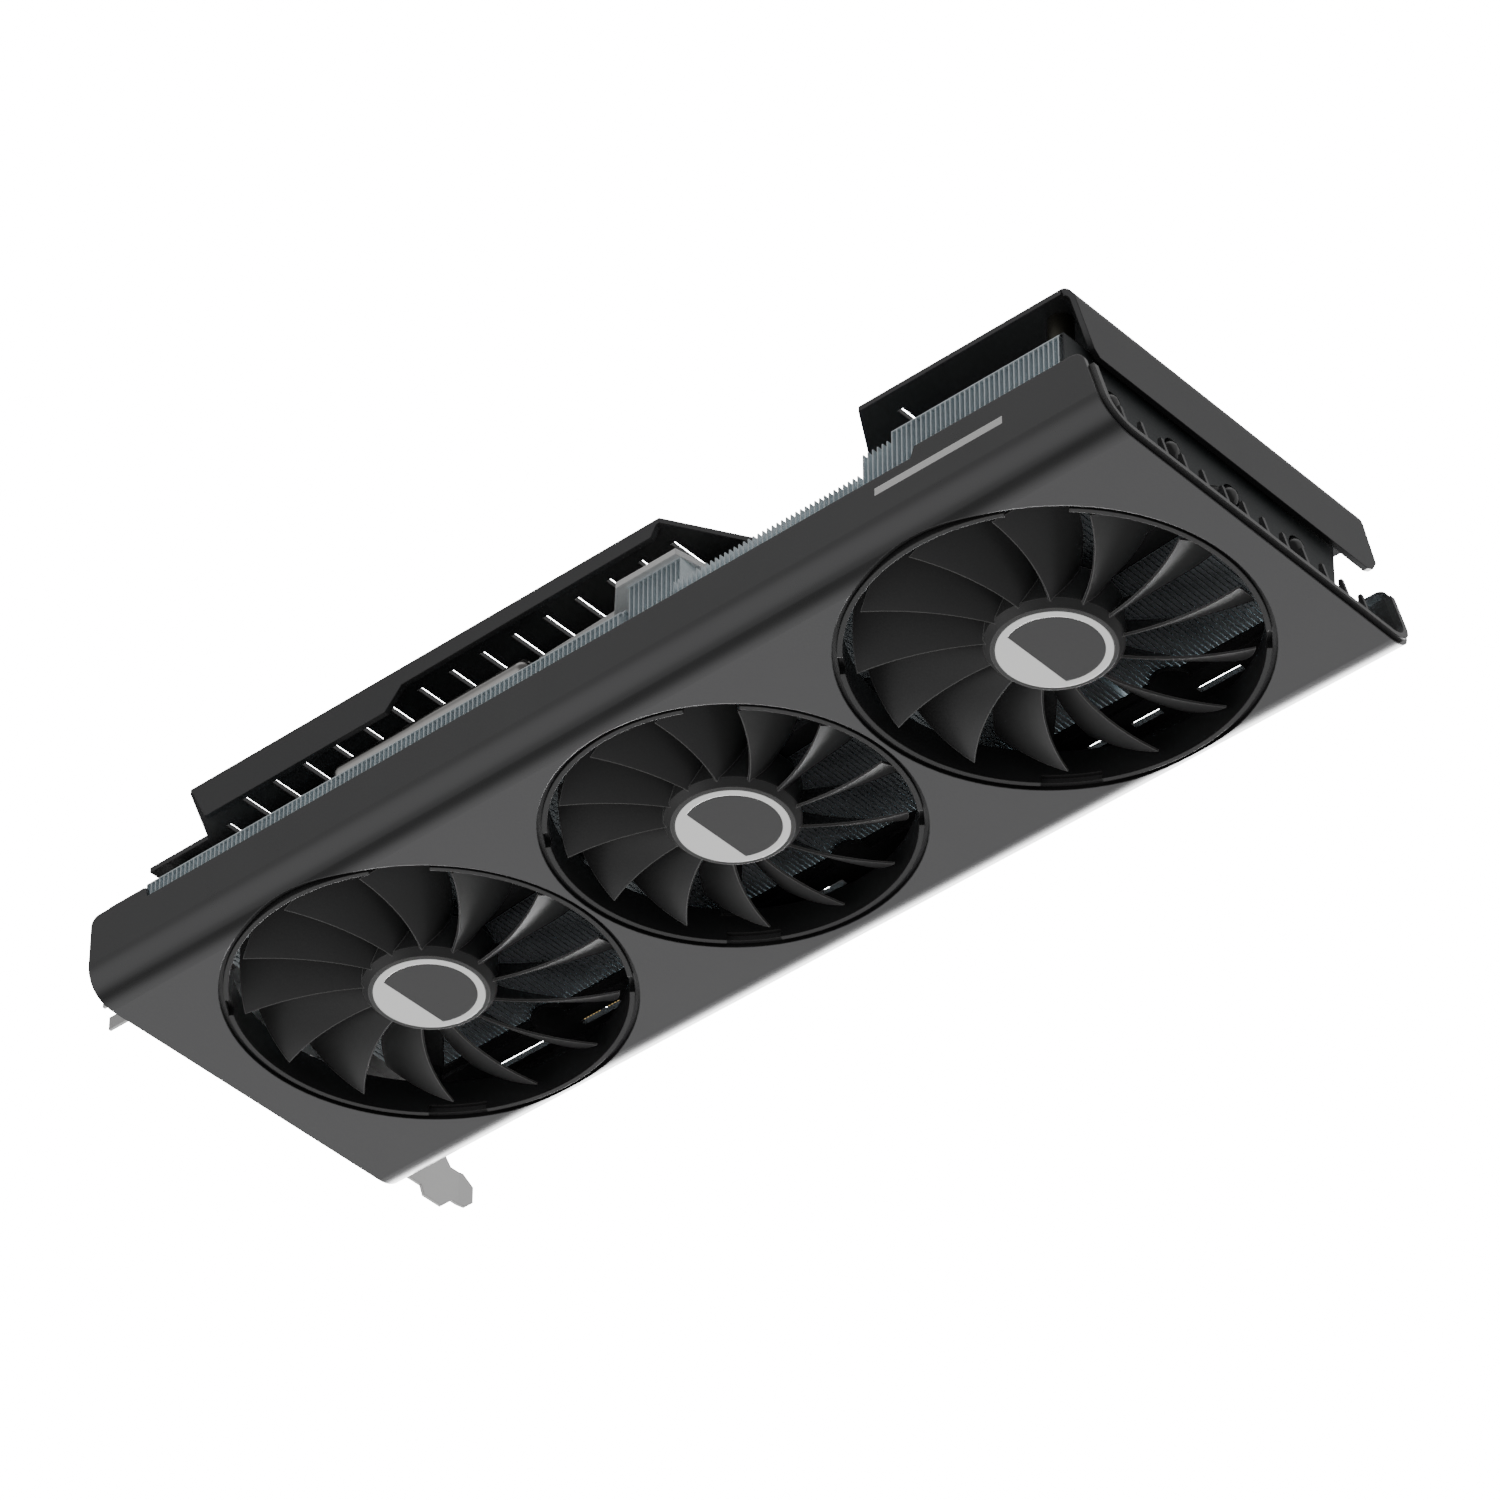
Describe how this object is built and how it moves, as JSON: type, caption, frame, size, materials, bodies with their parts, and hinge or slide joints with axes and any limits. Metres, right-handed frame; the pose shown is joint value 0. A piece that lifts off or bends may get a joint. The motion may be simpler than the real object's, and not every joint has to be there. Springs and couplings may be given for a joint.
{
  "type": "graphics card",
  "caption": "Long graphics card with a row of spinning fans in a U-shaped grey shroud, a finned cooler, a slotted black backplate and a steel slot bracket.",
  "frame": {"origin": "centre of the bottom of the bounding box, on the plane of the flat face round the fans", "axes": "+X from the slot bracket to the tail, +Y from the long outer edge to the edge contacts, +Z from the fans to the backplate"},
  "size_m": [0.3376, 0.1386, 0.048],
  "materials": {
    "cover_grey": "satin grey powder coat",
    "liner_black": "moulded black plastic",
    "ring_grey": "moulded dark grey plastic",
    "rotor_black": "moulded black plastic, slight sheen",
    "hub_silver": "satin silver",
    "fin_metal": "thin rolled aluminium",
    "pipe_nickel": "nickel plated copper",
    "frame_silver": "bead blasted",
    "board_black": "black solder mask",
    "contact_gold": "gold plated",
    "package_green": "laminate",
    "die_glass": "polished silicon",
    "chip_black": "moulded epoxy",
    "choke_grey": "pressed iron powder",
    "can_silver": "drawn can",
    "pad_grey": "soft silicone",
    "socket_black": "moulded nylon",
    "backplate_black": "fine matt powder coat",
    "screw_black": "black zinc",
    "standoff_dark": "dark anodised",
    "bracket_steel": "nickel plated sheet",
    "screw_steel": "turned steel",
    "socket_shell": "plated sheet",
    "bearing_brass": "sintered bronze",
    "stator_steel": "laminated core",
    "shaft_steel": "ground"
  },
  "bodies": {
    "card": {"backplate": "backplate_black", "backplate_screws": "screw_black", "base_frame": "frame_silver", "bracket_screws": "screw_steel", "capacitors": "can_silver", "carrier_screws": "screw_black", "chokes": "choke_grey", "circuit_board": "board_black", "cold_plate": "pipe_nickel", "cross_bracket": "bracket_steel", "display_sockets": "socket_shell", "edge_contacts": "contact_gold", "edge_pipe": "pipe_nickel", "fan_bearing_left": "bearing_brass", "fan_bearing_middle": "bearing_brass", "fan_bearing_right": "bearing_brass", "fan_carrier_left": "liner_black", "fan_carrier_middle": "liner_black", "fan_carrier_right": "liner_black", "fan_ring_left": "ring_grey", "fan_ring_middle": "ring_grey", "fan_ring_right": "ring_grey", "fan_stator_left": "stator_steel", "fan_stator_middle": "stator_steel", "fan_stator_right": "stator_steel", "gpu_die": "die_glass", "gpu_package": "package_green", "heat_pipe_1": "pipe_nickel", "heat_pipe_2": "pipe_nickel", "heat_pipe_3": "pipe_nickel", "heat_pipe_4": "pipe_nickel", "main_fins": "fin_metal", "memory_chips": "chip_black", "power_pins": "contact_gold", "power_sockets": "socket_black", "power_stages": "chip_black", "screw_springs": "screw_steel", "shroud_cover": "cover_grey", "shroud_liner": "liner_black", "slot_bracket": "bracket_steel", "spring_screws": "screw_steel", "standoffs": "standoff_dark", "tail_fins": "fin_metal", "thermal_pads": "pad_grey"},
    "fan_left": {"fan_rotor_left": "rotor_black", "fan_shaft_left": "shaft_steel", "hub_ring_left": "hub_silver", "hub_disc_left": "cover_grey"},
    "fan_middle": {"fan_rotor_middle": "rotor_black", "fan_shaft_middle": "shaft_steel", "hub_ring_middle": "hub_silver", "hub_disc_middle": "cover_grey"},
    "fan_right": {"fan_rotor_right": "rotor_black", "fan_shaft_right": "shaft_steel", "hub_ring_right": "hub_silver", "hub_disc_right": "cover_grey"}
  },
  "joints": [
    {"name": "fan_left_spin", "type": "hinge", "parent": "card", "child": "fan_left", "pos_m": [-0.0918, -0.01385, 0.008], "axis": [0, 0, 1], "continuous": true},
    {"name": "fan_middle_spin", "type": "hinge", "parent": "card", "child": "fan_middle", "pos_m": [0.0075, -0.01385, 0.008], "axis": [0, 0, 1], "continuous": true},
    {"name": "fan_right_spin", "type": "hinge", "parent": "card", "child": "fan_right", "pos_m": [0.1068, -0.01385, 0.008], "axis": [0, 0, 1], "continuous": true}
  ]
}
